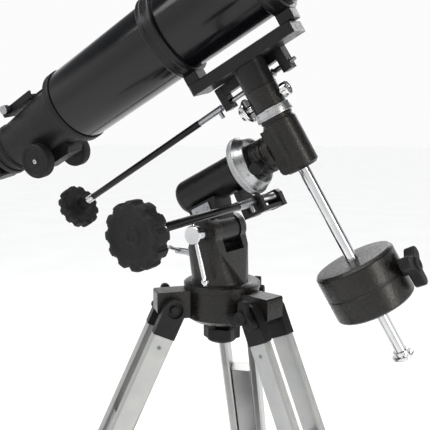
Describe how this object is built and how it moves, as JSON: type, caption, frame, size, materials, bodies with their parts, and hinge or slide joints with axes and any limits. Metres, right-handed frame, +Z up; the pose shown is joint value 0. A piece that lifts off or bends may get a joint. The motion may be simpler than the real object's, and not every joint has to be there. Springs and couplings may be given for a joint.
{
  "type": "telescope on tripod",
  "caption": "Small refracting telescope on an equatorial mount with counterweight and slow-motion cables, standing on a folding tripod with a tray.",
  "frame": {"origin": "middle of the bounding box at floor level", "axes": "+Z up; +X is the horizontal direction the polar axis leans up towards; +Y away from the counterweight side"},
  "size_m": [0.9078, 0.5966, 1.2042],
  "materials": {
    "black_paint": "satin black paint",
    "hammertone": "black hammertone paint",
    "tube_gloss": "gloss black enamel over aluminium",
    "black_plastic": "matt black",
    "chrome": "polished",
    "steel": "brushed",
    "silver_dial": "satin anodised with engraved divisions",
    "aluminium": "satin extruded",
    "rubber": "smooth",
    "glass": "coated"
  },
  "bodies": {
    "tripod": {"tripod_hub": "hammertone", "accessory_tray": "black_plastic", "leg1_cap_a": "black_plastic", "leg1_cap_b": "black_plastic", "leg1_rails": "aluminium", "leg2_cap_a": "black_plastic", "leg2_cap_b": "black_plastic", "leg2_rails": "aluminium", "leg3_cap_a": "black_plastic", "leg3_cap_b": "black_plastic", "leg3_rails": "aluminium", "brace_1": "black_plastic", "brace_2": "black_plastic", "brace_3": "black_plastic"},
    "base": {"mount_base": "hammertone"},
    "azimuth_bolt": {"azimuth_knob": "black_plastic"},
    "latitude_clamp": {"latitude_lever": "chrome"},
    "latitude_jack": {"latitude_screw": "steel"},
    "polar_axis": {"polar_housing": "black_paint", "latitude_plate": "steel", "hour_worm_carrier": "black_paint"},
    "hour_drive": {"hour_worm": "steel", "hour_flex_shaft": "rubber", "hour_knob": "black_plastic"},
    "hour_dial": {"hour_circle": "silver_dial"},
    "declination_body": {"declination_housing": "hammertone", "declination_stop": "chrome", "weight_shaft": "chrome"},
    "hour_clamp": {"hour_lock": "black_plastic"},
    "declination_dial": {"declination_circle": "silver_dial"},
    "declination_clamp": {"declination_lock": "chrome"},
    "weight": {"counterweight": "hammertone"},
    "weight_clamp": {"weight_knob": "black_plastic"},
    "tube_assembly": {"saddle": "black_paint", "tube_ring_rear": "black_paint", "tube_ring_front": "black_paint", "main_tube": "tube_gloss", "rear_cell": "black_plastic", "focuser_body": "black_plastic", "finder_shoe": "black_plastic", "dew_shield": "tube_gloss", "objective_cell": "black_plastic", "objective_lens": "glass"},
    "declination_drive": {"declination_worm": "steel", "declination_flex_shaft": "rubber", "declination_knob": "black_plastic"},
    "focus_wheel": {"focus_knobs": "black_plastic"},
    "focus_tube": {"drawtube": "black_plastic"},
    "eye_end": {"star_diagonal": "black_plastic", "eyepiece": "black_plastic"},
    "leg1_lower": {"leg1_inner": "aluminium", "leg1_foot": "rubber"},
    "leg1_bolt": {"leg1_hinge_bolt": "black_plastic"},
    "leg2_lower": {"leg2_inner": "aluminium", "leg2_foot": "rubber"},
    "leg2_bolt": {"leg2_hinge_bolt": "black_plastic"},
    "leg3_lower": {"leg3_inner": "aluminium", "leg3_foot": "rubber"},
    "leg3_bolt": {"leg3_hinge_bolt": "black_plastic"}
  },
  "joints": [
    {"name": "azimuth", "type": "hinge", "parent": "tripod", "child": "base", "pos_m": [-0.09452, -0.02738, 0.605], "axis": [0, 0, 1], "continuous": true},
    {"name": "azimuth_bolt_turn", "type": "hinge", "parent": "tripod", "child": "azimuth_bolt", "pos_m": [-0.09452, -0.02738, 0.605], "axis": [0, 0, 1], "continuous": true},
    {"name": "latitude", "type": "hinge", "parent": "base", "child": "polar_axis", "pos_m": [-0.09452, -0.02738, 0.66835], "axis": [0, -1, 0], "range_deg": [-14, 30]},
    {"name": "latitude_clamp_turn", "type": "hinge", "parent": "base", "child": "latitude_clamp", "pos_m": [-0.09452, -0.02738, 0.66835], "axis": [0, -1, 0], "range_deg": [-30, 30]},
    {"name": "latitude_jack_turn", "type": "hinge", "parent": "base", "child": "latitude_jack", "pos_m": [-0.09452, -0.02738, 0.638], "axis": [-1, 0, 0], "continuous": true},
    {"name": "hour", "type": "hinge", "parent": "polar_axis", "child": "declination_body", "pos_m": [-0.01291, -0.02738, 0.7622], "axis": [0.8988, 0, 0.4384], "range_deg": [-68, 65]},
    {"name": "hour_dial_turn", "type": "hinge", "parent": "polar_axis", "child": "hour_dial", "pos_m": [-0.01291, -0.02738, 0.7622], "axis": [0.8988, 0, 0.4384], "continuous": true},
    {"name": "hour_slow_motion", "type": "hinge", "parent": "polar_axis", "child": "hour_drive", "pos_m": [-0.0474, -0.02738, 0.70288], "axis": [0.0268, -0.9981, -0.0549], "continuous": true},
    {"name": "hour_clamp_turn", "type": "hinge", "parent": "declination_body", "child": "hour_clamp", "pos_m": [-0.04001, -0.02605, 0.74247], "axis": [0.0971, -0.9751, -0.1991], "continuous": true},
    {"name": "declination", "type": "hinge", "parent": "declination_body", "child": "tube_assembly", "pos_m": [-0.01291, -0.02738, 0.7622], "axis": [-0.4275, -0.2215, 0.8765], "continuous": true},
    {"name": "declination_dial_turn", "type": "hinge", "parent": "declination_body", "child": "declination_dial", "pos_m": [-0.01291, -0.02738, 0.7622], "axis": [-0.4275, -0.2215, 0.8765], "continuous": true},
    {"name": "declination_clamp_turn", "type": "hinge", "parent": "declination_body", "child": "declination_clamp", "pos_m": [-0.03365, -0.03812, 0.80471], "axis": [-0.8988, 0, -0.4384], "continuous": true},
    {"name": "declination_slow_motion", "type": "hinge", "parent": "tube_assembly", "child": "declination_drive", "pos_m": [-0.04527, -0.02076, 0.82853], "axis": [-0.8825, 0.0081, -0.4702], "continuous": true},
    {"name": "weight_slide", "type": "slide", "parent": "declination_body", "child": "weight", "axis": [-0.4275, -0.2215, 0.8765], "range_m": [-0.045, 0.095]},
    {"name": "weight_clamp_turn", "type": "hinge", "parent": "weight", "child": "weight_clamp", "pos_m": [0.05548, 0.00807, 0.62197], "axis": [0.8988, 0, 0.4384], "continuous": true},
    {"name": "focus", "type": "slide", "parent": "tube_assembly", "child": "focus_tube", "axis": [-0.8884, -0.0765, -0.4526], "range_m": [0, 0.075]},
    {"name": "focus_wheel_turn", "type": "hinge", "parent": "tube_assembly", "child": "focus_wheel", "pos_m": [-0.30273, -0.07469, 0.74694], "axis": [-0.1673, 0.9721, 0.1641], "continuous": true},
    {"name": "diagonal_turn", "type": "hinge", "parent": "focus_tube", "child": "eye_end", "pos_m": [-0.37832, -0.08775, 0.74728], "axis": [0.8884, 0.0765, 0.4526], "continuous": true},
    {"name": "leg1_slide", "type": "slide", "parent": "tripod", "child": "leg1_lower", "axis": [-0.2688, -0.3261, -0.9063], "range_m": [0, 0.3]},
    {"name": "leg1_bolt_turn", "type": "hinge", "parent": "tripod", "child": "leg1_bolt", "pos_m": [-0.13141, -0.07213, 0.587], "axis": [0.7716, -0.6361, 0], "continuous": true},
    {"name": "leg2_slide", "type": "slide", "parent": "tripod", "child": "leg2_lower", "axis": [0.4168, -0.0698, -0.9063], "range_m": [0, 0.3]},
    {"name": "leg2_bolt_turn", "type": "hinge", "parent": "tripod", "child": "leg2_bolt", "pos_m": [-0.03731, -0.03695, 0.587], "axis": [0.165, 0.9863, 0], "continuous": true},
    {"name": "leg3_slide", "type": "slide", "parent": "tripod", "child": "leg3_lower", "axis": [-0.148, 0.3959, -0.9063], "range_m": [0, 0.3]},
    {"name": "leg3_bolt_turn", "type": "hinge", "parent": "tripod", "child": "leg3_bolt", "pos_m": [-0.11483, 0.02695, 0.587], "axis": [-0.9367, -0.3502, 0], "continuous": true}
  ],
  "couplings": [
    {"joint": "focus_wheel_turn", "follows": "focus", "rad_per_m": 153.85}
  ]
}
